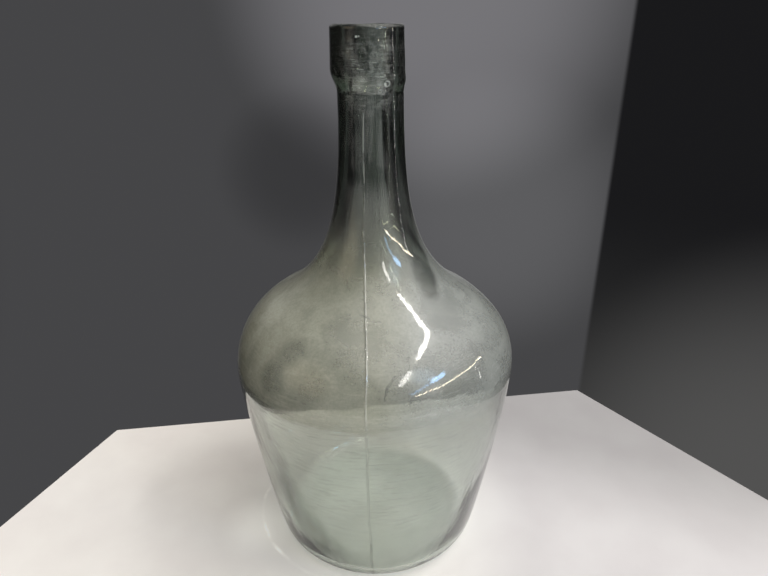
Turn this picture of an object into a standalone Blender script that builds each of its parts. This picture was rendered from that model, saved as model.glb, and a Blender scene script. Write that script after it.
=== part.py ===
"""Glass carboy: a mould-blown demijohn with a hot-applied collar.

The carboy is two pieces of glass, as its maker worked them:
  blown_body      the gather blown in a two-part mould: base with a push-up, wall, shoulder and neck
  applied_collar  a second gather, laid round the sheared end of the neck and tooled into a lip

Metres, +Z up. The origin is on the axis, in the plane that the carboy stands on.
The two mould seams lie in the YZ plane, one at -Y and one at +Y.
"""
import math

import bmesh
import bpy

# Driving dimensions of the outside
HEIGHT = 0.468
MAX_RADIUS = 0.125
MAX_RADIUS_HEIGHT = 0.187
FOOT_OUTER_RADIUS = 0.0745
FOOT_INNER_RADIUS = 0.064
HEEL_RADIUS = 0.025
WALL_ANGLE = math.radians(14.0)      # lean of the wall just above the heel, from the vertical
SHOULDER_RADIUS = 0.072
SHOULDER_SWEEP = math.radians(60.0)  # how far the shoulder's arc turns before it runs into the neck
NECK_RADIUS = 0.026
NECK_WAIST_HEIGHT = 0.418            # where the neck is slimmest, just under the collar
PUSH_UP_HEIGHT = 0.009

# How far each curve keeps the direction that it leaves its end point in
WALL_PULL_LOW = 0.033
WALL_PULL_HIGH = 0.018
NECK_PULL_LOW = 0.051
NECK_PULL_HIGH = 0.115
PUSH_UP_PULL = 0.030
PUSH_UP_EDGE_PULL = (-0.022, 0.0035)  # inward and upward from the foot's inner edge
DOME_PULL = 0.026
COLLAR_PULL_HIGH = 0.006
COLLAR_PULL_LOW = (0.0004, 0.004)    # outward and upward from the collar's lower edge

# Wall thickness
BASE_THICKNESS = 0.0055
WALL_THICKNESS = 0.0034
NECK_THICKNESS = 0.013
THIN_ABOVE = 0.100                   # the heavy base has thinned to the wall by this height
THICKEN_FROM = 0.240                 # the wall starts to thicken into the neck here
THICK_BY = 0.330

# Mouth and collar
BORE_RADIUS = 0.0145                 # at the mouth; the bore narrows a little into the neck
NECK_END_HEIGHT = 0.4585
NECK_END_RADIUS = 0.0248
COLLAR_TOP_RADIUS = 0.0282
COLLAR_RADIUS = 0.0288
COLLAR_SHOULDER_HEIGHT = 0.434       # below this the collar draws in to the neck
COLLAR_BOTTOM_HEIGHT = 0.4205
COLLAR_EDGE = 0.0006                 # thickness of the collar's lower edge
LIP_OUTER_ROUND = 0.003
LIP_INNER_ROUND = 0.0015
GAP = 0.0003                         # clearance between the two pieces of glass

# Mould seams
SEAM_WIDTH = 0.0014
SEAM_RISE = 0.0005
SEAM_PROFILE = 0.7
SEAM_BOTTOM_HEIGHT = 0.004
SEAM_TOP_HEIGHT = 0.4175

# Number of facets round the axis and along each stretch of the outline
SEGMENTS = 48
HEEL_STEPS = 5
WALL_STEPS = 7
SHOULDER_STEPS = 6
NECK_STEPS = 11
BASE_STEPS = 5
LIP_INNER_STEPS = 3
LIP_OUTER_STEPS = 4
TAPER_STEPS = 5
ON_AXIS = 1e-6
SHARP_ANGLE = math.radians(40.0)

# Glass: a pale green body, and a collar that looks darker because it is thicker
GLASS_IOR = 1.52
BODY_COLOUR = (0.42, 0.50, 0.44, 1.0)
BODY_ROUGHNESS = 0.08
COLLAR_COLOUR = (0.13, 0.20, 0.15, 1.0)
COLLAR_ROUGHNESS = 0.06


def clear_scene():
    for thing in list(bpy.data.objects):
        bpy.data.objects.remove(thing, do_unlink=True)


def make_glass(name, colour, roughness):
    material = bpy.data.materials.new(name)
    material.use_nodes = True
    shader = material.node_tree.nodes["Principled BSDF"]
    shader.inputs["Base Color"].default_value = colour
    shader.inputs["Roughness"].default_value = roughness
    shader.inputs["Metallic"].default_value = 0.0
    shader.inputs["IOR"].default_value = GLASS_IOR
    shader.inputs["Transmission Weight"].default_value = 1.0
    return material


def arc(centre, radius, start, end, steps):
    """Points along a circle's arc, from one direction to another, as (radius, height) pairs."""
    points = []
    for step in range(steps + 1):
        angle = start + (end - start) * step / steps
        points.append((centre[0] + radius * math.cos(angle), centre[1] + radius * math.sin(angle)))
    return points


def curve(start, start_pull, end_pull, end, steps):
    """Points along a cubic curve that leaves start along start_pull and arrives at end from end_pull."""
    controls = (
        start,
        (start[0] + start_pull[0], start[1] + start_pull[1]),
        (end[0] + end_pull[0], end[1] + end_pull[1]),
        end,
    )
    points = []
    for step in range(steps + 1):
        t = step / steps
        weights = ((1 - t) ** 3, 3 * t * (1 - t) ** 2, 3 * t * t * (1 - t), t ** 3)
        r = sum(weight * point[0] for weight, point in zip(weights, controls))
        z = sum(weight * point[1] for weight, point in zip(weights, controls))
        points.append((r, z))
    return points


def smooth_step(low, high, value):
    t = min(1.0, max(0.0, (value - low) / (high - low)))
    return t * t * (3.0 - 2.0 * t)


def thickness(height):
    """The glass is heavy at the base, thin over the wall and shoulder, and heavy again in the neck."""
    from_base = BASE_THICKNESS + (WALL_THICKNESS - BASE_THICKNESS) * smooth_step(0.0, THIN_ABOVE, height)
    to_neck = (NECK_THICKNESS - WALL_THICKNESS) * smooth_step(THICKEN_FROM, THICK_BY, height)
    return from_base + to_neck


def outer_wall():
    """Outline of the outside from the foot to the neck's slimmest place."""
    heel = arc((FOOT_OUTER_RADIUS, HEEL_RADIUS), HEEL_RADIUS, -math.pi / 2, -WALL_ANGLE, HEEL_STEPS)
    widest = (MAX_RADIUS, MAX_RADIUS_HEIGHT)
    up_the_wall = (WALL_PULL_LOW * math.sin(WALL_ANGLE), WALL_PULL_LOW * math.cos(WALL_ANGLE))
    wall = curve(heel[-1], up_the_wall, (0.0, -WALL_PULL_HIGH), widest, WALL_STEPS)
    shoulder_centre = (MAX_RADIUS - SHOULDER_RADIUS, MAX_RADIUS_HEIGHT)
    shoulder = arc(shoulder_centre, SHOULDER_RADIUS, 0.0, SHOULDER_SWEEP, SHOULDER_STEPS)
    into_neck = (-NECK_PULL_LOW * math.sin(SHOULDER_SWEEP), NECK_PULL_LOW * math.cos(SHOULDER_SWEEP))
    waist = (NECK_RADIUS, NECK_WAIST_HEIGHT)
    neck = curve(shoulder[-1], into_neck, (0.0, -NECK_PULL_HIGH), waist, NECK_STEPS)
    return heel + wall[1:] + shoulder[1:] + neck[1:]


def push_up():
    """Outline of the underside, from its middle out to the foot's inner edge."""
    rim = (FOOT_INNER_RADIUS, 0.0)
    return curve((0.0, PUSH_UP_HEIGHT), (PUSH_UP_PULL, 0.0), PUSH_UP_EDGE_PULL, rim, BASE_STEPS)


def inside_of(outline):
    """The outline moved in by the glass's thickness, square to the outline."""
    moved = []
    for index in range(1, len(outline) - 1):
        before, point, after = outline[index - 1], outline[index], outline[index + 1]
        run = (after[0] - before[0], after[1] - before[1])
        length = math.hypot(*run)
        depth = thickness(point[1])
        moved.append((point[0] - depth * run[1] / length, point[1] + depth * run[0] / length))
    return moved


def body_section():
    """Half section of the blown body: under the base, up the outside, over the end and down the inside."""
    outside = outer_wall()
    inside = inside_of(outside)
    neck_end = [(NECK_END_RADIUS, NECK_END_HEIGHT), (BORE_RADIUS, NECK_END_HEIGHT)]
    dome_top = (0.0, PUSH_UP_HEIGHT + BASE_THICKNESS)
    inside_base = curve(inside[0], (-DOME_PULL, 0.0), (DOME_PULL, 0.0), dome_top, BASE_STEPS)
    return push_up() + outside + neck_end + inside[::-1] + inside_base[1:]


def collar_section():
    """Closed half section of the collar: down the outside, up along the neck and over its end."""
    rim_outside = (COLLAR_TOP_RADIUS - LIP_OUTER_ROUND, HEIGHT - LIP_OUTER_ROUND)
    rim_inside = (BORE_RADIUS + LIP_INNER_ROUND, HEIGHT - LIP_INNER_ROUND)
    lip = arc(rim_inside, LIP_INNER_ROUND, math.pi, math.pi / 2, LIP_INNER_STEPS)
    lip += arc(rim_outside, LIP_OUTER_ROUND, math.pi / 2, 0.0, LIP_OUTER_STEPS)
    side_end = (COLLAR_RADIUS, COLLAR_SHOULDER_HEIGHT)
    edge = (NECK_RADIUS + GAP + COLLAR_EDGE, COLLAR_BOTTOM_HEIGHT)
    taper = curve(side_end, (0.0, -COLLAR_PULL_HIGH), COLLAR_PULL_LOW, edge, TAPER_STEPS)
    neck_lean = (NECK_END_RADIUS - NECK_RADIUS) / (NECK_END_HEIGHT - NECK_WAIST_HEIGHT)
    neck_at_edge = NECK_RADIUS + neck_lean * (COLLAR_BOTTOM_HEIGHT - NECK_WAIST_HEIGHT)
    seat = [(neck_at_edge + GAP, COLLAR_BOTTOM_HEIGHT), (NECK_END_RADIUS + GAP, NECK_END_HEIGHT + GAP)]
    return lip + taper + seat + [(BORE_RADIUS, NECK_END_HEIGHT + GAP)]


def turn(section, closed):
    """A bmesh turned from a half section about the Z axis."""
    shape = bmesh.new()
    verts = [shape.verts.new((r, 0.0, z)) for r, z in section]
    edges = [shape.edges.new(pair) for pair in zip(verts, verts[1:])]
    if closed:
        edges.append(shape.edges.new((verts[-1], verts[0])))
    bmesh.ops.spin(
        shape,
        geom=verts + edges,
        cent=(0.0, 0.0, 0.0),
        axis=(0.0, 0.0, 1.0),
        angle=2.0 * math.pi,
        steps=SEGMENTS,
        use_merge=True,
    )
    bmesh.ops.remove_doubles(shape, verts=shape.verts, dist=ON_AXIS)
    bmesh.ops.recalc_face_normals(shape, faces=shape.faces)
    return shape


def on_seam(vert):
    """True on the outside of the glass, in the mould's parting plane, between the seam's two ends."""
    in_plane = abs(vert.co.x) < ON_AXIS
    in_span = SEAM_BOTTOM_HEIGHT < vert.co.z < SEAM_TOP_HEIGHT
    return in_plane and in_span and vert.normal.y * vert.co.y > 0.0


def raise_seams(shape):
    """Bevel the two columns of edges in the parting plane, and lift the middle line of each."""
    shape.normal_update()
    seam_edges = [edge for edge in shape.edges if all(on_seam(vert) for vert in edge.verts)]
    bmesh.ops.bevel(
        shape,
        geom=seam_edges,
        offset=SEAM_WIDTH / 2,
        offset_type="OFFSET",
        segments=2,
        profile=SEAM_PROFILE,
        affect="EDGES",
    )
    shape.normal_update()
    for vert in [vert for vert in shape.verts if on_seam(vert)]:
        vert.co += vert.normal * SEAM_RISE


def make_object(name, shape, material):
    mesh = bpy.data.meshes.new(name)
    shape.to_mesh(mesh)
    shape.free()
    mesh.shade_smooth()
    mesh.set_sharp_from_angle(angle=SHARP_ANGLE)
    mesh.materials.append(material)
    thing = bpy.data.objects.new(name, mesh)
    bpy.context.scene.collection.objects.link(thing)
    return thing


def make_blown_body():
    shape = turn(body_section(), closed=False)
    raise_seams(shape)
    material = make_glass("body_glass", BODY_COLOUR, BODY_ROUGHNESS)
    return make_object("blown_body", shape, material)


def make_applied_collar():
    shape = turn(collar_section(), closed=True)
    material = make_glass("collar_glass", COLLAR_COLOUR, COLLAR_ROUGHNESS)
    return make_object("applied_collar", shape, material)


def main():
    clear_scene()
    carboy = bpy.data.objects.new("carboy", None)
    bpy.context.scene.collection.objects.link(carboy)
    for piece in (make_blown_body(), make_applied_collar()):
        piece.parent = carboy


main()
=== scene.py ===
# Looks of the glass carboy. The two gathers of glass, the blown body and the applied collar, are fused on
# the real bottle, and light shows any gap inside glass as a bright film. So one closed skin of glass stands
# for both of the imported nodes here. Metres, +Z up, the camera on the -Y side.
import math

import bpy
import numpy as np
from mathutils import Matrix, Vector, noise


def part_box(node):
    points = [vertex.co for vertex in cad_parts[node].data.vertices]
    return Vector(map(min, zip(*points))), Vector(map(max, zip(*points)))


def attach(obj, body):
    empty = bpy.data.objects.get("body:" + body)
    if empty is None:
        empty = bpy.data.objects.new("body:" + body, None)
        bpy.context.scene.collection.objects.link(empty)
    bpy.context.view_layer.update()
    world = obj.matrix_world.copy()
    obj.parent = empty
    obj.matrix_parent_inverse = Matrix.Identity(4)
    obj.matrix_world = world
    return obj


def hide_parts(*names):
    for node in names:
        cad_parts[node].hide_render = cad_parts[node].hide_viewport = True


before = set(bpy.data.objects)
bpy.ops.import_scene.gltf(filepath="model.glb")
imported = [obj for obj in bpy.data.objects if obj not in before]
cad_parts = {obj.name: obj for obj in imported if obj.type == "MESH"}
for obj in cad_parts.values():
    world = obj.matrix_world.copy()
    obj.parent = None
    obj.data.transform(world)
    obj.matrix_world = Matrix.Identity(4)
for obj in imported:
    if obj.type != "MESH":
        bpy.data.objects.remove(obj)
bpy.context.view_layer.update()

# Driving dimensions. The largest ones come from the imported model, and the rest repeat its outline.
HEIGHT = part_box("applied_collar")[1].z
MAX_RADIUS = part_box("blown_body")[1].x
MAX_RADIUS_HEIGHT = 0.187
FOOT_OUTER_RADIUS = 0.0745
FOOT_INNER_RADIUS = 0.064
HEEL_RADIUS = 0.025
WALL_ANGLE = math.radians(14.0)         # lean of the wall just above the heel, from the vertical
SHOULDER_RADIUS = 0.072
SHOULDER_SWEEP = math.radians(60.0)     # how far the shoulder's arc turns before it runs into the neck
NECK_RADIUS = 0.026
NECK_WAIST_HEIGHT = 0.418               # where the neck is slimmest, just under the collar
PUSH_UP_HEIGHT = 0.009
LIP_OUTER_ROUND = 0.003
LIP_INNER_ROUND = 0.0015
LIP_HEIGHT = HEIGHT - LIP_OUTER_ROUND   # where the side of the collar turns into the lip

# How far each curve runs straight on from its ends before it bends
WALL_PULL_LOW = 0.033
WALL_PULL_HIGH = 0.018
NECK_PULL_LOW = 0.051
NECK_PULL_HIGH = 0.115
PUSH_UP_PULL = 0.030
PUSH_UP_EDGE_PULL = (-0.022, 0.0035)
DOME_PULL = 0.026

# Glass
BASE_THICKNESS = 0.0055
WALL_THICKNESS = 0.0034
NECK_THICKNESS = 0.013
THIN_ABOVE = 0.100                      # the heavy base has thinned to the wall by this height
THICKEN_FROM = 0.240                    # the wall starts to thicken into the neck here
THICK_BY = 0.330
BORE_RADIUS = 0.0145
GLASS_IOR = 1.52
GLASS_COLOUR = (0.10, 0.205, 0.10, 1.0)  # what its depth leaves of white light
GLASS_DENSITY = 48.0

# The collar, which sits off the neck's axis and has an uneven lower edge
COLLAR_TOP_RADIUS = 0.0281
COLLAR_RADIUS = 0.0288
COLLAR_WIDEST_HEIGHT = 0.437
COLLAR_BOTTOM_HEIGHT = 0.4205
COLLAR_SHIFT = -0.0019
COLLAR_INNER_REACH = 0.0235             # only glass further out than this is moved to make the collar

# Mould seams. They run straight down the body, and the neck was twisted a little while it was hot.
SEAM_RISE = 0.0006
SEAM_SPREAD = 0.00055
SEAM_STEP = 0.00012
SEAM_BOTTOM_HEIGHT = 0.007
SEAM_TOP_HEIGHT = 0.4185
SEAM_OFFSETS = (0.0, 0.00035, 0.0007, 0.0011, 0.0017, 0.0026, 0.0038)
SEAM_SMALLEST_RADIUS = 0.019
NECK_TWIST = math.radians(-9.2)
TWIST_FROM = 0.235
TWIST_TO = 0.330
COLUMNS_BETWEEN_SEAMS = 96

# Hand work. Each row is how high waves are, their size along X, Y and Z, and which noise they follow.
OUTER_WAVES = ((0.00015, (0.03, 0.03, 0.045), 1),)
INNER_WAVES = ((0.00045, (0.05, 0.05, 0.06), 2), (0.00012, (0.014, 0.014, 0.03), 3))
HEAVY_BASE_WAVES = ((0.0006, (0.03, 0.03, 0.012), 9),)
NECK_STREAKS = ((1.0, (0.009, 0.009, 0.16), 4), (0.55, (0.0035, 0.0035, 0.10), 8))
TOOLING = ((0.00006, (0.03, 0.03, 0.0016), 6), (0.00017, (0.012, 0.012, 0.010), 7))
LOWER_TOOLING = ((0.00045, (0.007, 0.007, 0.006), 11),)
COLLAR_EDGE_WAVES = ((0.0008, (0.006, 0.006, 0.006), 5),)
LIP_WAVES = ((0.0002, (0.008, 0.008, 0.008), 10),)
HEAVY_BASE_THICKNESS = 0.0011
HEAVY_BASE_SIDE = math.radians(-135.0)
SETTLED_BY = 0.0022                     # how far the right shoulder has sunk
INNER_STREAK_DEPTH = 0.00040
OUTER_STREAK_DEPTH = 0.00010

# Camera: distance from the axis, height, the ways it is turned, and how far round from the front seam it is
CAMERA_DISTANCE = 0.4856
CAMERA_HEIGHT = 0.4721
CAMERA_AZIMUTH = math.radians(3.6)
CAMERA_PITCH = math.radians(24.299)
CAMERA_YAW = math.radians(1.047)
CAMERA_ROLL = math.radians(-0.579)
CAMERA_LENS = 28.125
SENSOR_WIDTH = 36.0

# Strips of light: name, both ends, width, brightness and colour. The ceiling strips' ends are given along Y,
# in a frame that is turned with the camera, the low strip's as points, and the others' as towards() takes them.
WARM_WHITE = (1.0, 0.97, 0.93)
CREAM = (1.0, 0.90, 0.74)
AMBER = (1.0, 0.88, 0.66)
COOL = (0.35, 0.62, 1.0)
AIM_HEIGHT = 0.2
CEILING_HEIGHT = 2.05
CEILING_STRIPS_ASIDE = 1.10
CEILING_STRIPS = (
    ("key_strip", -0.86, 0.30, 0.09, 36.0, WARM_WHITE),
    ("hook_strip", -1.02, -0.85, 0.06, 5.0, CREAM),
    ("far_strip", -2.62, -1.62, 0.20, 11.0, WARM_WHITE),
)
LOW_STRIP = ("low_strip", (1.67, 0.22, 0.68), (0.86, -1.32, 0.56), 0.020, 34.0, AMBER)
OTHER_STRIPS = (
    ("side_strip", (87.0, 0.0, 1.2, 0.17), (87.0, 0.0, 1.2, 0.56), 0.011, 18.0, WARM_WHITE),
    ("cool_strip", (50.0, 25.0, 2.2), (64.0, 28.0, 2.2), 0.17, 16.0, COOL),
    ("cool_glow", (31.0, 16.0, 2.2), (50.0, 25.0, 2.2), 0.10, 5.0, COOL),
)

# The room's light. A round patch has an azimuth and elevation, half a width, all in degrees, and a colour.
ROOM_RADIANCE = (0.010, 0.010, 0.011)
BACK_WALL = (0.050, 0.050, 0.052)
BACK_WALL_GLOWS = ((178.0, 3.0, 20.0, (0.118, 0.115, 0.123)), (172.0, -17.0, 14.0, (0.048, 0.048, 0.050)))
WALL_SHADOW = (190.5, -13.0, 8.2, 1.0, 0.62)    # a patch, and the light left at its edge and middle
RIGHT_WALL = (0.015, 0.015, 0.014)
RIGHT_WALL_GLOWS = ((138.0, -38.0, 25.0, (0.060, 0.059, 0.058)),)
ABOVE_WALL = (0.30, 0.30, 0.29)
ROOM_GLOWS = (
    (75.0, 64.0, 60.0, (2.25, 2.18, 2.07)),
    (-54.0, 22.0, 25.0, (0.80, 0.66, 0.44)),
    (60.0, 10.0, 20.0, (0.42, 0.42, 0.30)),
    (48.0, 36.0, 13.0, (0.55, 0.95, 1.30)),
)
CORNER_AZIMUTH = 161.5                  # where the wall behind meets the right one
CORNER_SOFTNESS = 0.004

# The board that the carboy stands on. Its outline is in a frame that is turned with the camera.
BOARD_OUTLINE = (
    (-0.3276, 0.1387), (0.2779, 0.2060), (0.415, -0.0057), (1.35, -1.60), (-1.30, -1.60), (-0.387, -0.0177),
)
BOARD_TOP = -0.0003
BOARD_THICKNESS = 0.012
BOARD_ROUGHNESS = 0.55
BOARD_COLOURS = ((0.735, 0.70, 0.68, 1.0), (0.785, 0.755, 0.73, 1.0))
# Painted shade on the board: cooler and dimmer to the right and towards the far right corner, and a soft shadow
BOARD_RIGHT_SHADE = (0.735, 0.742, 0.783, 1.0)
BOARD_SHADE_TOWARDS = (0.35, 0.94, 0.0)
BOARD_SHADOW_PLACE = (-0.20, 0.04, 0.0)
# Painted light glowing on the board, under and round the carboy, in patches and in a thin arc on the left
PAINTED_LIGHT_COLOUR = (0.98, 1.0, 0.92, 1.0)
PAINTED_LIGHT_PATCHES = (                    # place, where the patch starts and stops to fade, and its brightness
    ((-0.030, 0.035, 0.0), 0.01, 0.055, 0.10),
    ((-0.118, -0.030, 0.0), 0.005, 0.050, 0.12),
)
PAINTED_ARC_MIDDLE = (-0.010, 0.013, 0.0)
PAINTED_ARC_RADIUS = 0.1115

# Dust and marks on the outside of the glass, and painted light and shade. Spots are places, with how far they
# reach and how much of the dust is gone there. Bands, scratches and streaks of painted shade have two ends, a
# width and a strength. Ring marks and glints have a place, the ring's radius, which is 0 for a spot, a width
# and a strength.
DUST_COLOUR = (0.60, 0.61, 0.50, 1.0)
# Pale dust on the seam's ridge, which also stands as a painted highlight along it
SEAM_DUST_AND_HIGHLIGHT_COLOUR = (0.80, 0.80, 0.74, 1.0)
CLEAN_COLOUR = (0.98, 1.0, 0.98, 1.0)
# Painted shade in the bare glass just beside the seam
BESIDE_SEAM_SHADE_COLOUR = (0.50, 0.52, 0.48, 1.0)
# Painted shade in streaks low on the left, for the shadowed board seen through the glass
PAINTED_SHADE_STREAK_COLOUR = (0.17, 0.185, 0.16, 1.0)
DUST_EDGE_COLOUR = (0.36, 0.38, 0.33, 1.0)
NECK_DUST_COLOUR = (0.60, 0.66, 0.62, 1.0)
# Darker, cooler dust on the right: painted shade that tones down the more strongly lit side
RIGHT_SHADED_DUST_COLOUR = (0.53, 0.56, 0.55, 1.0)
DUST_COVER = 0.44
DUST_EDGE_HEIGHT = 0.195
CLEAR_SPOTS = (
    ((-0.0598, -0.0860, 0.2370), 0.019, 0.36),
    ((-0.0755, -0.0915, 0.2165), 0.019, 0.38),
    ((-0.0935, -0.0675, 0.2229), 0.016, 0.16),
    ((-0.0455, -0.1088, 0.2165), 0.021, 0.33),
    ((0.0600, -0.0500, 0.2560), 0.030, 0.30),
    ((0.0700, -0.0900, 0.2300), 0.040, 0.25),
    ((-0.0060, -0.0900, 0.2490), 0.038, 0.34),
)
BARE_BANDS = (
    ((0.0265, -0.0198, 0.3267), (0.0340, -0.0193, 0.3052), 0.016, 0.95),
    ((0.0340, -0.0193, 0.3052), (0.0399, -0.0220, 0.2905), 0.015, 0.95),
    ((0.0399, -0.0220, 0.2905), (0.0449, -0.0290, 0.2782), 0.016, 0.95),
    ((0.0449, -0.0290, 0.2782), (0.0481, -0.0382, 0.2689), 0.015, 0.90),
)
SCRATCHES = (
    ((-0.0061, -0.0699, 0.2615), (0.0003, -0.0727, 0.2595), 0.0012, 0.40),
    ((0.0042, -0.0746, 0.2580), (0.0088, -0.0743, 0.2578), 0.0012, 0.35),
    ((0.0058, -0.0920, 0.2467), (0.0076, -0.1013, 0.2393), 0.0012, 0.28),
    ((0.0299, -0.0989, 0.2373), (0.0310, -0.0960, 0.2395), 0.0012, 0.40),
    ((0.0212, -0.1081, 0.2299), (0.0154, -0.1139, 0.2232), 0.0014, 0.45),
    ((0.0154, -0.1139, 0.2232), (0.0140, -0.1179, 0.2162), 0.0014, 0.40),
)
# Streaks of painted shade low on the left of the glass
PAINTED_SHADE_STREAKS = (
    ((-0.0750, -0.0925, 0.1371), (-0.0708, -0.0892, 0.1018), 0.013, 0.50),
    ((-0.0708, -0.0892, 0.1018), (-0.0596, -0.0907, 0.0694), 0.027, 0.80),
    ((-0.0596, -0.0907, 0.0694), (-0.0480, -0.0933, 0.0487), 0.030, 0.85),
    ((-0.0480, -0.0933, 0.0487), (-0.0373, -0.0964, 0.0403), 0.026, 0.55),
    ((-0.0373, -0.0964, 0.0403), (-0.0100, -0.1010, 0.0360), 0.018, 0.30),
)
# The first two spots are a painted glint on a bubble by the lip; the rest are drying rings and spots
RING_MARKS_AND_GLINTS = (
    ((-0.0078, -0.0275, 0.4597), 0.0, 0.0013, 1.00),
    ((-0.0060, -0.0277, 0.4599), 0.0, 0.0010, 0.80),
    ((0.0123, -0.0251, 0.4338), 0.0, 0.0013, 0.25),
    ((0.0085, -0.0252, 0.4225), 0.0012, 0.0006, 0.40),
    ((0.0142, -0.0240, 0.4275), 0.0020, 0.0007, 0.42),
    ((0.0128, -0.0246, 0.4268), 0.0009, 0.0006, 0.38),
    ((0.0150, -0.0236, 0.4290), 0.0, 0.0012, 0.30),
    ((-0.0043, -0.0284, 0.4305), 0.0, 0.0045, 0.20),
    ((-0.0078, -0.0275, 0.4252), 0.0, 0.0030, 0.22),
)


def smooth_step(low, high, value):
    t = np.clip((value - low) / (high - low), 0.0, 1.0)
    return t * t * (3.0 - 2.0 * t)


def hump(value, middle, spread):
    """1 at the middle, falling off to both sides."""
    return np.exp(-(((value - middle) / spread) ** 2))


def arc(centre, radius, start, end, steps):
    """Points along a circle's arc, as rows of radius and height."""
    angles = np.linspace(start, end, steps + 1)
    return np.stack([centre[0] + radius * np.cos(angles), centre[1] + radius * np.sin(angles)], axis=1)


def curve(start, start_pull, end_pull, end, steps):
    """Points along a cubic curve that leaves start along start_pull and arrives at end from end_pull."""
    start, end = np.array(start), np.array(end)
    t = np.linspace(0.0, 1.0, steps + 1)[:, None]
    points = (1 - t) ** 3 * start + 3 * t * (1 - t) ** 2 * (start + start_pull)
    return points + 3 * t * t * (1 - t) * (end + end_pull) + t ** 3 * end


def line(start, end, steps):
    return np.linspace(start, end, steps + 1)


def thickness(height):
    """The glass is heavy in the base, thin in the wall and thick again in the neck."""
    from_base = BASE_THICKNESS + (WALL_THICKNESS - BASE_THICKNESS) * smooth_step(0.0, THIN_ABOVE, height)
    return from_base + (NECK_THICKNESS - WALL_THICKNESS) * smooth_step(THICKEN_FROM, THICK_BY, height)


def outer_wall():
    """Outline of the outside from the foot to the neck's slimmest place."""
    heel = arc((FOOT_OUTER_RADIUS, HEEL_RADIUS), HEEL_RADIUS, -math.pi / 2, -WALL_ANGLE, 20)
    up_the_wall = (WALL_PULL_LOW * math.sin(WALL_ANGLE), WALL_PULL_LOW * math.cos(WALL_ANGLE))
    wall = curve(heel[-1], up_the_wall, (0.0, -WALL_PULL_HIGH), (MAX_RADIUS, MAX_RADIUS_HEIGHT), 46)
    shoulder_centre = (MAX_RADIUS - SHOULDER_RADIUS, MAX_RADIUS_HEIGHT)
    shoulder = arc(shoulder_centre, SHOULDER_RADIUS, 0.0, SHOULDER_SWEEP, 34)
    into_neck = (-NECK_PULL_LOW * math.sin(SHOULDER_SWEEP), NECK_PULL_LOW * math.cos(SHOULDER_SWEEP))
    waist = (NECK_RADIUS, NECK_WAIST_HEIGHT)
    neck = curve(shoulder[-1], into_neck, (0.0, -NECK_PULL_HIGH), waist, 72)
    return np.concatenate([heel, wall[1:], shoulder[1:], neck[1:]])


def inside_of(outline):
    """The outline moved in by the glass's thickness, square to the outline."""
    run = outline[2:] - outline[:-2]
    run /= np.linalg.norm(run, axis=1)[:, None]
    depth = thickness(outline[1:-1, 1])[:, None]
    return outline[1:-1] + depth * np.stack([-run[:, 1], run[:, 0]], axis=1)


def vessel_outline():
    """Half section of the whole skin of glass, and which of its points are on the inside.

    It runs from the middle of the underside out and up the outside, over the lip, and down the inside to
    the middle of the floor."""
    foot = (FOOT_INNER_RADIUS, 0.0)
    underside = curve((0.0, PUSH_UP_HEIGHT), (PUSH_UP_PULL, 0.0), PUSH_UP_EDGE_PULL, foot, 18)
    resting_face = line(foot, (FOOT_OUTER_RADIUS, 0.0), 4)
    wall = outer_wall()
    lip_outer_centre = (COLLAR_TOP_RADIUS - LIP_OUTER_ROUND, LIP_HEIGHT)
    lip_inner_centre = (BORE_RADIUS + LIP_INNER_ROUND, HEIGHT - LIP_INNER_ROUND)
    collar = line((NECK_RADIUS, NECK_WAIST_HEIGHT), (COLLAR_TOP_RADIUS, LIP_HEIGHT), 62)
    lip_outer = arc(lip_outer_centre, LIP_OUTER_ROUND, 0.0, math.pi / 2, 8)
    lip_inner = arc(lip_inner_centre, LIP_INNER_ROUND, math.pi / 2, math.pi, 6)
    rim = line(lip_outer[-1], lip_inner[0], 6)
    outside = [underside, resting_face[1:], wall[1:], collar[1:], lip_outer[1:], rim[1:], lip_inner[1:]]
    inner_wall = inside_of(wall)[::-1]
    bore = line(lip_inner[-1], inner_wall[0], 20)
    floor_middle = (0.0, PUSH_UP_HEIGHT + BASE_THICKNESS)
    floor = curve(inner_wall[-1], (-DOME_PULL, 0.0), (DOME_PULL, 0.0), floor_middle, 18)
    inside = [bore[1:], inner_wall[2::2], floor[1:]]
    outline = np.concatenate(outside + inside)
    is_inside = np.arange(len(outline)) >= sum(len(part) for part in outside)
    return outline, is_inside


def column_angles(radius, height):
    """Angles of one ring's columns, measured from the front seam, and each column's distance to its seam."""
    offsets = np.array([-s for s in SEAM_OFFSETS[:0:-1]] + list(SEAM_OFFSETS))
    reach = max(radius, SEAM_SMALLEST_RADIUS)
    near = offsets / reach
    between = np.linspace(near[-1], math.pi + near[0], COLUMNS_BETWEEN_SEAMS + 2)[1:-1]
    half = np.concatenate([near, between])
    distance = np.concatenate([offsets, np.full(len(between), np.inf)])
    twist = NECK_TWIST * float(smooth_step(TWIST_FROM, TWIST_TO, height))
    angles = np.concatenate([half, half + math.pi]) - math.pi / 2 + twist
    return angles, np.concatenate([distance, distance])


def wave(points, scale, seed):
    """Smooth noise from -1 to 1 at each point. scale is a wave's size along X, Y and Z."""
    shift = Vector((17.3 * seed, -9.1 * seed, 4.7 * seed))
    stretch = [1.0 / size for size in scale]
    return np.array([noise.noise(Vector(place) + shift) for place in points * stretch])


def waves(points, table):
    """Waves added up over a table's rows of height, size along X, Y and Z, and noise number."""
    return sum(height * wave(points, scale, seed) for height, scale, seed in table)


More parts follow.
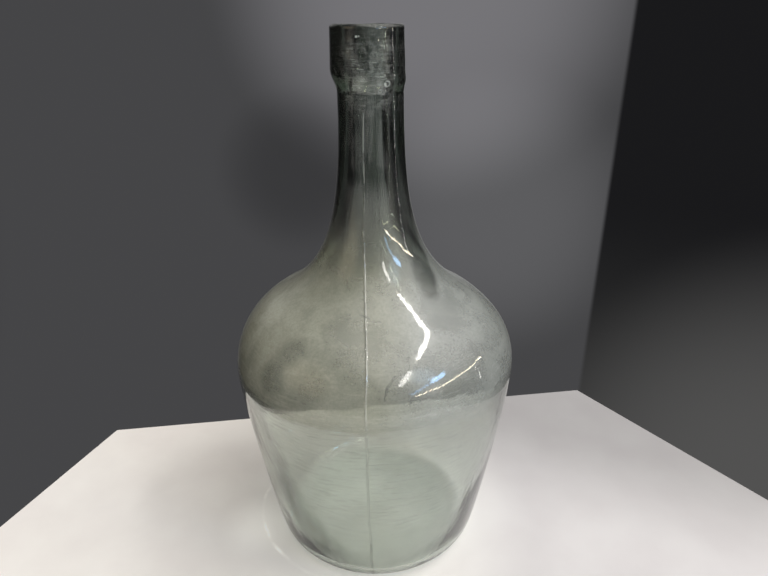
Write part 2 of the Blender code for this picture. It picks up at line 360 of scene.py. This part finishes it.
def make_vessel():
    outline, is_inside = vessel_outline()
    run = np.gradient(outline, axis=0)
    run /= np.linalg.norm(run, axis=1)[:, None]
    rings = outline[1:-1]
    points, outward, seam_distance = [], [], []
    for (radius, height), (run_r, run_z) in zip(rings, run[1:-1]):
        angles, distance = column_angles(radius, height)
        cos, sin = np.cos(angles), np.sin(angles)
        points.append(np.stack([radius * cos, radius * sin, np.full(len(angles), height)], axis=1))
        outward.append(np.stack([run_z * cos, run_z * sin, np.full(len(angles), -run_r)], axis=1))
        seam_distance.append(distance)
    columns = len(seam_distance[0])
    points, outward = np.concatenate(points), np.concatenate(outward)
    seam_distance = np.concatenate(seam_distance)
    inside = np.repeat(is_inside[1:-1], columns)
    seam = shape_vessel(points, outward, seam_distance, inside)
    ends = [(0.0, 0.0, outline[0][1]), (0.0, 0.0, outline[-1][1])]
    faces = ring_faces(len(rings), columns, len(points))
    mesh = bpy.data.meshes.new("carboy_glass")
    mesh.from_pydata(list(map(tuple, points)) + ends, [], faces)
    mesh.validate()
    mesh.shade_smooth()
    for name, values in (("outside", ~inside), ("seam", seam)):
        attribute = mesh.attributes.new(name, "FLOAT", "POINT")
        attribute.data.foreach_set("value", np.append(values, [0.0, 0.0]).astype(np.float32))
    vessel = bpy.data.objects.new("carboy_glass", mesh)
    bpy.context.scene.collection.objects.link(vessel)
    return vessel


def ring_faces(rings, columns, first_end):
    """Quads between neighbouring rings, and a fan of triangles at each end, all facing out of the glass."""
    faces = []
    for ring in range(rings - 1):
        low, high = ring * columns, (ring + 1) * columns
        for column in range(columns):
            after = (column + 1) % columns
            faces.append((low + column, low + after, high + after, high + column))
    last = (rings - 1) * columns
    for column in range(columns):
        after = (column + 1) % columns
        faces.append((first_end, after, column))
        faces.append((first_end + 1, last + column, last + after))
    return faces


def shape_vessel(points, outward, seam_distance, inside):
    """Moves the turned skin's points, in place, to what hand work and the mould leave.

    Returns how much of a seam's ridge each point is on, from 0 to 1."""
    x, y, z = points[:, 0].copy(), points[:, 1].copy(), points[:, 2].copy()
    radius = np.hypot(x, y)
    angle = np.arctan2(y, x)
    outside = ~inside
    move = np.zeros(len(points))

    # Seam ridges, with one half of the mould standing a little proud of the other
    wander = 0.0003 * np.sin(z / 0.023) + 0.0002 * np.sin(z / 0.0091 + 1.0)
    on_seam = np.isfinite(seam_distance) & outside
    across = np.where(on_seam, seam_distance, 1.0) - wander
    fade = smooth_step(SEAM_BOTTOM_HEIGHT, SEAM_BOTTOM_HEIGHT + 0.008, z)
    fade *= 1.0 - smooth_step(SEAM_TOP_HEIGHT - 0.003, SEAM_TOP_HEIGHT, z)
    unevenness = 1.0 + 0.35 * np.sin(z / 0.0127 + 0.6) * np.sin(z / 0.0049)
    crest = hump(across, 0.0, SEAM_SPREAD)
    back_of_neck = np.where(y > 0.0, smooth_step(0.24, 0.30, z), 0.0)
    ridge = SEAM_RISE * unevenness * crest * (1.0 - 0.6 * back_of_neck)
    step = SEAM_STEP * np.tanh(across / 0.0003) * np.exp(-np.abs(across) / 0.003)
    move += np.where(on_seam, fade * (ridge + step), 0.0)

    # Waves in the wall: the mould side is nearly true, the blown side is not
    around = np.stack([x, y, z], axis=1)
    body = smooth_step(0.012, 0.05, z) * (1.0 - smooth_step(0.40, 0.43, z))
    move += np.where(outside, body * waves(around, OUTER_WAVES), 0.0)
    move -= np.where(inside, smooth_step(0.0, 0.02, radius) * waves(around, INNER_WAVES), 0.0)
    heavy_side = 0.5 + 0.5 * np.cos(angle - HEAVY_BASE_SIDE)
    low_wave = hump(z, 0.045, 0.022) * heavy_side ** 3
    low_wave *= HEAVY_BASE_THICKNESS + waves(around, HEAVY_BASE_WAVES)
    move -= np.where(inside, low_wave, 0.0)
    streaks = smooth_step(0.27, 0.33, z) * waves(around, NECK_STREAKS)
    move += np.where(inside, INNER_STREAK_DEPTH * streaks, OUTER_STREAK_DEPTH * body * streaks)

    # The right shoulder has settled lower than the left
    settle = SETTLED_BY * hump(z, 0.243, 0.020) * (0.5 + 0.5 * np.cos(angle)) ** 2
    move += np.where(inside, settle, -settle)
    points += outward * move[:, None]
    shape_collar(points, angle, outside)
    return np.where(on_seam, fade * crest, 0.0)


def shape_collar(points, angle, outside):
    """Swells the neck's end into the collar: off the axis, uneven below and tooled all round."""
    z = points[:, 2].copy()
    radius = np.hypot(points[:, 0], points[:, 1])
    around = np.stack([COLLAR_RADIUS * np.cos(angle), COLLAR_RADIUS * np.sin(angle), z], axis=1)
    level = around * (1.0, 1.0, 0.0)
    collar = outside & (z > NECK_WAIST_HEIGHT) & (radius > COLLAR_INNER_REACH)

    # The collar's side, from an uneven lower edge to its widest place and then in to the lip
    edge = COLLAR_BOTTOM_HEIGHT + 0.0012 * np.cos(angle - 2.4) + 0.0008 * np.sin(3.0 * angle + 0.4)
    edge += waves(level, COLLAR_EDGE_WAVES)
    full = COLLAR_WIDEST_HEIGHT - 0.006 * (0.5 + 0.5 * np.cos(angle))
    swell = smooth_step(edge, full, z) ** 0.8
    taper = smooth_step(COLLAR_WIDEST_HEIGHT, LIP_HEIGHT, z)
    side = COLLAR_RADIUS + (COLLAR_TOP_RADIUS - COLLAR_RADIUS) * taper
    share = (z - NECK_WAIST_HEIGHT) / (LIP_HEIGHT - NECK_WAIST_HEIGHT)
    straight_side = NECK_RADIUS + (COLLAR_TOP_RADIUS - NECK_RADIUS) * share
    wanted = NECK_RADIUS + (side - NECK_RADIUS) * swell
    tooling = waves(around, TOOLING) + waves(around, LOWER_TOOLING) * hump(z, 0.428, 0.006)
    grow = np.where(z < LIP_HEIGHT, wanted - straight_side, 0.0)
    grow += smooth_step(COLLAR_BOTTOM_HEIGHT, COLLAR_BOTTOM_HEIGHT + 0.004, z) * tooling
    grow = np.where(collar, grow, 0.0)
    points[:, 0] += grow * np.cos(angle)
    points[:, 1] += grow * np.sin(angle)

    # The lip goes up and down a little, and the whole collar sits aside
    radius = np.hypot(points[:, 0], points[:, 1])
    lip = smooth_step(HEIGHT - 0.014, LIP_HEIGHT, z) * (radius > 0.0150)
    points[:, 2] += lip * (0.0002 * np.sin(2.0 * angle + 0.6) + waves(level, LIP_WAVES))
    shift = COLLAR_SHIFT * smooth_step(NECK_WAIST_HEIGHT, COLLAR_WIDEST_HEIGHT, z)
    points[:, 0] += np.where(outside, shift * smooth_step(0.016, 0.024, radius), 0.0)


class Graph:
    """Short ways to add nodes to the tree of a material or the world, and to place things in object space."""

    def __init__(self, tree, coordinates="Object"):
        self.nodes, self.links = tree.nodes, tree.links
        self.position = self.add("ShaderNodeTexCoord", coordinates)
        axes = (self.add("ShaderNodeSeparateXYZ", axis, [("Vector", self.position)]) for axis in "XYZ")
        self.x, self.y, self.z = axes

    def add(self, kind, output, inputs=(), **settings):
        """Adds a node and returns its output. Each input is a socket's name or number, and what goes in."""
        node = self.nodes.new(kind)
        for name, value in settings.items():
            setattr(node, name, value)
        for name, value in inputs:
            if isinstance(value, bpy.types.NodeSocket):
                self.links.new(value, node.inputs[name])
            else:
                node.inputs[name].default_value = value
        return node.outputs[output]

    def math(self, operation, *values, clamp=False):
        return self.add("ShaderNodeMath", 0, enumerate(values), operation=operation, use_clamp=clamp)

    def product(self, first, *others):
        for other in others:
            first = self.math("MULTIPLY", first, other)
        return first

    def total(self, first, *others):
        for other in others:
            first = self.math("ADD", first, other)
        return first

    def vector(self, operation, *values):
        return self.add("ShaderNodeVectorMath", "Vector", enumerate(values), operation=operation)

    def measure(self, operation, *values):
        """A vector operation that gives a number, such as a distance."""
        return self.add("ShaderNodeVectorMath", "Value", enumerate(values), operation=operation)

    def scaled(self, vector, amount):
        return self.add("ShaderNodeVectorMath", "Vector", ((0, vector), ("Scale", amount)), operation="SCALE")

    def ramp(self, value, low, high, start=0.0, end=1.0):
        """Takes value from the range low..high to start..end along a smooth step."""
        sockets = ("Value", "From Min", "From Max", "To Min", "To Max")
        inputs = zip(sockets, (value, low, high, start, end))
        return self.add("ShaderNodeMapRange", "Result", inputs, interpolation_type="SMOOTHSTEP")

    def mix(self, first, second, factor, blend="MIX"):
        """Mixes two colours."""
        inputs = (("A", first), ("B", second), ("Factor", factor))
        return self.add("ShaderNodeMix", "Result", inputs, data_type="RGBA", blend_type=blend)

    def noise(self, size, detail=2.0, roughness=0.5, stretch=(1.0, 1.0, 1.0), distortion=0.0):
        """Cloudy noise round 0.5, whose clouds are size across, divided by stretch along X, Y and Z."""
        scale = [factor / size for factor in stretch]
        place = self.add("ShaderNodeMapping", "Vector", (("Vector", self.position), ("Scale", scale)))
        sockets = ("Vector", "Scale", "Detail", "Roughness", "Distortion")
        inputs = zip(sockets, (place, 1.0, detail, roughness, distortion))
        return self.add("ShaderNodeTexNoise", "Fac", inputs)

    def distance_to(self, place):
        return self.measure("DISTANCE", self.position, place)

    def distance_to_line(self, start, end):
        """Distance to the straight stroke from start to end."""
        run = Vector(end) - Vector(start)
        offset = self.vector("SUBTRACT", self.position, start)
        along = self.measure("DOT_PRODUCT", offset, run)
        share = self.math("MULTIPLY", along, 1.0 / run.length_squared, clamp=True)
        return self.measure("LENGTH", self.vector("SUBTRACT", offset, self.scaled(run, share)))


def dust_with_painted_shade(graph, above_widest):
    """Dust on the shoulder, from the widest ring up to the foot of the neck, and where it lies at all, with
    less of it on the right as painted shade.
    """
    shoulder = graph.product(above_widest, graph.ramp(graph.z, 0.255, 0.338, 1.0, 0.0))
    patches = graph.noise(0.022, detail=5.0, roughness=0.6, distortion=0.6)
    patches = graph.ramp(patches, 0.32, 0.62, 0.80, 1.06)
    mottle = graph.ramp(graph.noise(0.0022, detail=4.0, roughness=0.75), 0.30, 0.70, 0.87, 1.11)
    # Less dust towards the right, painted shade that tones down the more strongly lit side
    dust = graph.product(shoulder, patches, mottle, graph.ramp(graph.x, -0.055, 0.03, 1.0, 0.76))
    wander = graph.math("MULTIPLY_ADD", graph.noise(0.022, detail=1.0), 0.010, -0.005)
    for place, reach, strength in CLEAR_SPOTS:
        distance = graph.total(graph.distance_to(place), wander)
        dust = graph.product(dust, graph.ramp(distance, 0.3 * reach, reach, 1.0 - strength, 1.0))
    for start, end, width, strength in BARE_BANDS:
        distance = graph.total(graph.distance_to_line(start, end), wander)
        dust = graph.product(dust, graph.ramp(distance, 0.4 * width, width, 1.0 - strength, 1.0))
    for start, end, width, strength in SCRATCHES:
        distance = graph.distance_to_line(start, end)
        dust = graph.product(dust, graph.ramp(distance, 0.25 * width, width, 1.0 - strength, 1.0))
    return graph.product(dust, DUST_COVER), shoulder


def thin_film(graph):
    """A thin uneven film all over, and level scuffs below the dust."""
    film = graph.product(graph.ramp(graph.noise(0.06, detail=4.0), 0.35, 0.65, 0.3, 1.0), 0.05)
    film = graph.product(film, graph.ramp(graph.z, 0.28, 0.35, 1.0, 0.2))
    scuffs = graph.noise(0.020, detail=6.0, roughness=0.7, stretch=(1.0, 1.0, 9.0))
    scuffs = graph.product(graph.ramp(scuffs, 0.50, 0.66, 0.0, 0.10), graph.ramp(graph.z, 0.02, 0.12))
    return graph.total(film, graph.product(scuffs, graph.ramp(graph.z, 0.19, 0.27, 1.0, 0.0)))


def deposit_with_painted_light(graph, shoulder):
    """Mist and streaks on the neck, blotches and rubbed lines on the collar, drying rings, and a painted glint
    on a bubble by the lip.
    """
    streaks = graph.ramp(graph.noise(0.0040, detail=3.0, stretch=(1.0, 1.0, 0.06)), 0.45, 0.75, 0.0, 0.08)
    clouds = graph.noise(0.011, detail=4.0, stretch=(1.0, 1.0, 0.5), distortion=0.5)
    clouds = graph.ramp(clouds, 0.45, 0.72, 0.0, 0.05)
    blotches = graph.noise(0.0060, detail=6.0, roughness=0.75, distortion=0.8)
    blotches = graph.ramp(blotches, 0.46, 0.60, 0.0, 0.15)
    rubbed = graph.noise(0.014, detail=6.0, roughness=0.75, stretch=(1.0, 1.0, 18.0))
    rubbed = graph.ramp(rubbed, 0.54, 0.59, 0.0, 0.22)
    mist = graph.ramp(graph.noise(0.018, detail=3.0, stretch=(1.0, 1.0, 0.3)), 0.35, 0.65, 0.07, 0.13)
    mist = graph.product(mist, graph.ramp(graph.z, 0.300, 0.322), graph.ramp(graph.z, 0.336, 0.362, 1.0, 0.0))
    on_neck, on_collar = graph.ramp(graph.z, 0.30, 0.36), graph.ramp(graph.z, 0.395, 0.425)
    deposit = graph.total(graph.product(graph.total(streaks, clouds), on_neck), mist)
    deposit = graph.total(deposit, graph.product(graph.total(blotches, rubbed), on_collar))

    # It is thickest down the front and the back and thin at the sides, which paints shade along the outline of
    # the neck and collar, and there is less of it on the lip
    off_middle = graph.math("ABSOLUTE", graph.total(graph.x, 0.001))
    deposit = graph.product(deposit, graph.ramp(off_middle, 0.010, 0.022, 1.0, 0.12))
    deposit = graph.product(deposit, graph.ramp(graph.z, 0.450, 0.463, 1.0, 0.25))
    # Drying rings and spots, the first two a painted glint on a bubble
    for place, ring, width, strength in RING_MARKS_AND_GLINTS:
        off_ring = graph.math("ABSOLUTE", graph.math("SUBTRACT", graph.distance_to(place), ring))
        deposit = graph.total(deposit, graph.ramp(off_ring, 0.1 * width, width, strength, 0.0))
    return graph.product(deposit, graph.math("SUBTRACT", 1.0, shoulder))


def dirt_and_painted_light_cover(graph, outside, seam):
    """How much of the glass is hidden, from 0 to 1, by all that lies on its outside, together with painted
    highlights and shade.
    """
    ragged = graph.math("MULTIPLY_ADD", graph.noise(0.03, detail=4.0), 0.010, -0.005)
    edge = graph.math("MULTIPLY_ADD", graph.y, -0.055, graph.math("SUBTRACT", graph.z, ragged))
    above_widest = graph.ramp(edge, DUST_EDGE_HEIGHT - 0.006, DUST_EDGE_HEIGHT + 0.012)
    dust, shoulder = dust_with_painted_shade(graph, above_widest)
    deposit = deposit_with_painted_light(graph, shoulder)
    # Dust seen edge-on covers more, and this paints bright lines along the shoulder's outline: a painted
    # reflection
    seen_flat = graph.add("ShaderNodeLayerWeight", "Facing", [("Blend", 0.5)])
    grazing_dust_and_rim_highlight = graph.product(graph.ramp(seen_flat, 0.85, 0.97, 0.0, 0.85), above_widest)
    grazing_dust_and_rim_highlight = graph.product(grazing_dust_and_rim_highlight, graph.ramp(graph.z, 0.458, 0.465, 1.0, 0.10))
    cover = graph.total(dust, thin_film(graph), deposit, grazing_dust_and_rim_highlight)

    # The seam's ridge catches dust in places, and this pale dust is also a painted highlight along the ridge
    on_seam = graph.ramp(graph.z, MAX_RADIUS_HEIGHT, 0.20, 0.06, 0.52)
    on_seam = graph.product(on_seam, graph.ramp(graph.z, 0.26, 0.30, 1.0, 0.75))
    on_seam = graph.product(on_seam, graph.ramp(graph.noise(0.011, detail=3.0), 0.36, 0.62, 0.15, 1.35), seam)
    return graph.math("MULTIPLY", graph.math("MAXIMUM", cover, on_seam), outside, clamp=True)


def dirt_and_painted_light_colour(graph, seam):
    # Pale seam dust, also a painted highlight along the ridge
    colour = graph.mix(DUST_COLOUR, SEAM_DUST_AND_HIGHLIGHT_COLOUR, seam)
    for layer, share in (
        (DUST_EDGE_COLOUR, graph.ramp(graph.z, 0.190, 0.235, 0.62, 0.0)),
        (NECK_DUST_COLOUR, graph.ramp(graph.z, 0.31, 0.36)),
        # Darker and cooler on the right: painted shade
        (RIGHT_SHADED_DUST_COLOUR, graph.ramp(graph.x, 0.0, 0.05, 0.0, 0.85)),
    ):
        colour = graph.mix(colour, layer, share)
    return colour


def clean_colour(graph, outside, seam):
    """Colour of bare glass, with painted shade just beside the seam and in streaks low on the left."""
    beside = graph.product(graph.ramp(seam, 0.02, 0.30), graph.ramp(seam, 0.35, 0.80, 1.0, 0.0))
    beside = graph.product(beside, graph.ramp(graph.z, 0.02, 0.06, 0.4, 1.0))
    colour = graph.mix(CLEAN_COLOUR, BESIDE_SEAM_SHADE_COLOUR, beside)
    broken = graph.noise(0.020, detail=3.0, stretch=(1.0, 1.0, 0.30), distortion=0.8)
    broken = graph.ramp(broken, 0.34, 0.62, 0.60, 1.0)
    # Painted shade in streaks low on the left
    for start, end, width, strength in PAINTED_SHADE_STREAKS:
        near = graph.ramp(graph.distance_to_line(start, end), 0.2 * width, width, strength, 0.0)
        colour = graph.mix(colour, PAINTED_SHADE_STREAK_COLOUR, graph.product(near, broken, outside))
    return colour


def make_glass():
    """Grey-green soda glass, with dust on its shoulder, dry deposit on its neck and collar, and painted
    highlights and shade.
    """
    material = bpy.data.materials.new("dusty_green_glass")
    material.use_nodes = True
    graph = Graph(material.node_tree)
    shader = graph.nodes["Principled BSDF"]
    names = ("outside", "seam")
    outside, seam = (graph.add("ShaderNodeAttribute", "Fac", attribute_name=name) for name in names)
    cover = dirt_and_painted_light_cover(graph, outside, seam)
    mostly_dirt_and_painted_light = graph.math("MULTIPLY", cover, 4.0, clamp=True)
    ripples = graph.noise(0.006, detail=3.0, stretch=(1.0, 1.0, 0.5))
    bump_inputs = (("Strength", 0.18), ("Distance", 0.0004), ("Height", ripples))
    bump = graph.add("ShaderNodeBump", "Normal", bump_inputs)
    for name, value in (
        ("IOR", GLASS_IOR),
        ("Coat IOR", 1.5),
        ("Coat Roughness", 0.28),
    ):
        shader.inputs[name].default_value = value
    for name, socket in (
        ("Transmission Weight", graph.math("SUBTRACT", 1.0, cover)),
        ("Coat Weight", graph.math("MULTIPLY", cover, 1.1, clamp=True)),
        ("Roughness", graph.math("MULTIPLY_ADD", cover, 0.08, 0.015)),
        ("Base Color", graph.mix(clean_colour(graph, outside, seam), dirt_and_painted_light_colour(graph, seam), mostly_dirt_and_painted_light)),
        ("Normal", bump),
    ):
        graph.links.new(socket, shader.inputs[name])
    depth_inputs = (("Color", GLASS_COLOUR), ("Density", GLASS_DENSITY))
    depth = graph.add("ShaderNodeVolumeAbsorption", "Volume", depth_inputs)
    graph.links.new(depth, graph.nodes["Material Output"].inputs["Volume"])
    return material


def make_board_material():
    """Unevenly pale board with painted shade, and painted light where the carboy gathers light onto it."""
    material = bpy.data.materials.new("pale_board")
    material.use_nodes = True
    graph = Graph(material.node_tree)
    shader = graph.nodes["Principled BSDF"]
    shader.inputs["Roughness"].default_value = BOARD_ROUGHNESS
    clouds = graph.noise(1.0 / 14.0, detail=5.0)
    blend = graph.nodes.new("ShaderNodeValToRGB")
    for element, place, colour in zip(blend.color_ramp.elements, (0.35, 0.65), BOARD_COLOURS):
        element.position, element.color = place, colour
    graph.links.new(clouds, blend.inputs["Fac"])

    # Painted shade: cooler and dimmer on the right, dimmer still at the far right corner, and a soft shadow on
    # the left
    right_share = graph.ramp(graph.x, 0.0, 0.16)
    colour = graph.mix(blend.outputs["Color"], BOARD_RIGHT_SHADE, right_share, "MULTIPLY")
    to_far_corner = graph.measure("DOT_PRODUCT", graph.position, BOARD_SHADE_TOWARDS)
    colour = graph.scaled(colour, graph.ramp(to_far_corner, 0.03, 0.21, 1.0, 0.60))
    colour = graph.scaled(colour, graph.ramp(graph.distance_to(BOARD_SHADOW_PLACE), 0.02, 0.115, 0.94, 1.0))
    graph.links.new(colour, shader.inputs["Base Color"])

    # Painted light under the carboy and round it, in patches, and in a thin broken arc on the left
    radius = graph.measure("LENGTH", graph.vector("MULTIPLY", graph.position, (1.0, 1.0, 0.0)))
    painted_light = graph.ramp(radius, 0.070, 0.112, 0.30, 0.0)
    painted_light = graph.total(painted_light, graph.ramp(radius, 0.10, 0.17, 0.10, 0.0))
    for place, near, far, brightness in PAINTED_LIGHT_PATCHES:
        painted_light = graph.total(painted_light, graph.ramp(graph.distance_to(place), near, far, brightness, 0.0))
    waver = graph.product(graph.math("SUBTRACT", clouds, 0.5), 0.014)
    from_middle = graph.total(graph.distance_to(PAINTED_ARC_MIDDLE), waver)
    off_arc = graph.math("ABSOLUTE", graph.math("SUBTRACT", from_middle, PAINTED_ARC_RADIUS))
    on_left = graph.ramp(graph.x, -0.095, -0.045, 1.0, 0.0)
    broken = graph.ramp(graph.noise(1.0 / 45.0, detail=3.0), 0.40, 0.62, 0.25, 1.6)
    painted_arc = graph.product(graph.ramp(off_arc, 0.0003, 0.0026, 0.26, 0.0), on_left, broken, clouds)
    graph.links.new(graph.total(painted_light, painted_arc), shader.inputs["Emission Strength"])
    shader.inputs["Emission Color"].default_value = PAINTED_LIGHT_COLOUR
    return material


def make_floor():
    """Pale board whose far edge lies a little behind the carboy."""
    turn = Matrix.Rotation(CAMERA_AZIMUTH, 3, "Z")
    top = [turn @ Vector((x, y, BOARD_TOP)) for x, y in BOARD_OUTLINE]
    bottom = [corner - Vector((0.0, 0.0, BOARD_THICKNESS)) for corner in top]
    count = len(top)
    faces = [tuple(range(count))[::-1], tuple(range(count, 2 * count))]
    faces += [(i, (i + 1) % count, count + (i + 1) % count, count + i) for i in range(count)]
    mesh = bpy.data.meshes.new("pale_floor")
    mesh.from_pydata(top + bottom, [], faces)
    mesh.materials.append(make_board_material())
    floor = bpy.data.objects.new("pale_floor", mesh)
    bpy.context.scene.collection.objects.link(floor)


def towards(azimuth, elevation, distance, height=AIM_HEIGHT):
    """A point that far from the carboy's axis at height, with the azimuth in degrees from -Y towards +X."""
    azimuth, elevation = math.radians(azimuth), math.radians(elevation)
    flat = distance * math.cos(elevation)
    x, y = flat * math.sin(azimuth), -flat * math.cos(azimuth)
    return Vector((x, y, height + distance * math.sin(elevation)))


def strip_light(name, near, far, width, radiance, colour):
    """A strip of light between two points, which faces the carboy."""
    near, far = Vector(near), Vector(far)
    centre, along = (near + far) / 2.0, far - near
    back = (centre - Vector((0.0, 0.0, AIM_HEIGHT))).normalized()
    across = back.cross(along).normalized()
    lamp = bpy.data.lights.new(name, "AREA")
    lamp.shape = "RECTANGLE"
    lamp.size = along.length
    lamp.size_y = width
    lamp.energy = radiance * math.pi * along.length * width
    lamp.color = colour
    strip = bpy.data.objects.new(name, lamp)
    strip.matrix_world = Matrix((across.cross(back), across, back)).transposed().to_4x4()
    strip.location = centre
    strip.visible_camera = False
    bpy.context.scene.collection.objects.link(strip)


def make_lights():
    turn = Matrix.Rotation(CAMERA_AZIMUTH, 3, "Z")
    for name, near, far, width, radiance, colour in CEILING_STRIPS:
        ends = [turn @ Vector((CEILING_STRIPS_ASIDE, y, CEILING_HEIGHT)) for y in (near, far)]
        strip_light(name, *ends, width, radiance, colour)
    strip_light(*LOW_STRIP)
    for name, near, far, width, radiance, colour in OTHER_STRIPS:
        strip_light(name, towards(*near), towards(*far), width, radiance, colour)


def make_world():
    """A dark room: a dim wall behind the carboy, dim warm things in front, and soft light overhead."""
    world = bpy.data.worlds.new("dark_room")
    bpy.context.scene.world = world
    world.use_nodes = True
    graph = Graph(world.node_tree, "Generated")

    def lobe_share(azimuth, elevation, spread, start=0.0, end=1.0):
        """How near a direction is to the middle of a round patch, whose half width is spread degrees."""
        facing = graph.measure("DOT_PRODUCT", graph.position, towards(azimuth, elevation, 1.0, 0.0))
        return graph.ramp(facing, math.cos(math.radians(spread)), 1.0, start, end)

    def light_from(*parts):
        """Light that comes from several parts of the room, each of them a colour and how strong it is."""
        total = graph.scaled(*parts[0])
        for colour, amount in parts[1:]:
            total = graph.vector("ADD", total, graph.scaled(colour, amount))
        return total

    def lobes(table):
        return [(colour, lobe_share(*patch)) for *patch, colour in table]

    # The wall behind, lit from above its middle, and the dark wall that meets it on the right
    aside = graph.measure("DOT_PRODUCT", graph.position, towards(CORNER_AZIMUTH - 90.0, 0.0, 1.0, 0.0))
    wall = light_from((BACK_WALL, graph.ramp(graph.y, 0.10, 0.45)), *lobes(BACK_WALL_GLOWS))
    wall = graph.scaled(wall, lobe_share(*WALL_SHADOW))
    wall = graph.scaled(wall, graph.ramp(aside, -CORNER_SOFTNESS, CORNER_SOFTNESS, 1.0, 0.0))
    wall = graph.scaled(wall, graph.ramp(graph.x, -0.70, -0.56))
    right_wall = light_from((RIGHT_WALL, graph.ramp(graph.z, -0.25, -0.55)), *lobes(RIGHT_WALL_GLOWS))
    right_wall = graph.scaled(right_wall, graph.ramp(aside, -CORNER_SOFTNESS, CORNER_SOFTNESS))
    above_wall = graph.product(graph.ramp(graph.z, 0.06, 0.30), graph.ramp(graph.y, 0.25, 0.70))
    parts = ((ROOM_RADIANCE, 1.0), (wall, 1.0), (right_wall, 1.0), (ABOVE_WALL, above_wall))
    room = light_from(*parts, *lobes(ROOM_GLOWS))
    graph.links.new(room, graph.nodes["Background"].inputs["Color"])


def make_camera():
    sin_yaw, cos_yaw = math.sin(CAMERA_YAW), math.cos(CAMERA_YAW)
    sin_pitch, cos_pitch = math.sin(CAMERA_PITCH), math.cos(CAMERA_PITCH)
    forward = Vector((sin_yaw * cos_pitch, cos_yaw * cos_pitch, -sin_pitch))
    right = Vector((cos_yaw, -sin_yaw, 0.0))
    up = right.cross(forward)
    cos_roll, sin_roll = math.cos(CAMERA_ROLL), math.sin(CAMERA_ROLL)
    rolled_right = cos_roll * right + sin_roll * up
    rolled_up = cos_roll * up - sin_roll * right
    looking = Matrix((rolled_right, rolled_up, -forward)).transposed().to_4x4()
    looking.translation = (0.0, -CAMERA_DISTANCE, CAMERA_HEIGHT)
    lens = bpy.data.cameras.new("camera")
    lens.lens = CAMERA_LENS
    lens.sensor_width = SENSOR_WIDTH
    camera = bpy.data.objects.new("camera", lens)
    camera.matrix_world = Matrix.Rotation(CAMERA_AZIMUTH, 4, "Z") @ looking
    bpy.context.scene.collection.objects.link(camera)
    bpy.context.scene.camera = camera


make_camera()
make_world()
make_lights()
make_floor()
vessel = make_vessel()
vessel.data.materials.append(make_glass())
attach(vessel, "root")
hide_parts("blown_body", "applied_collar")

bpy.context.scene.view_settings.view_transform = "Standard"
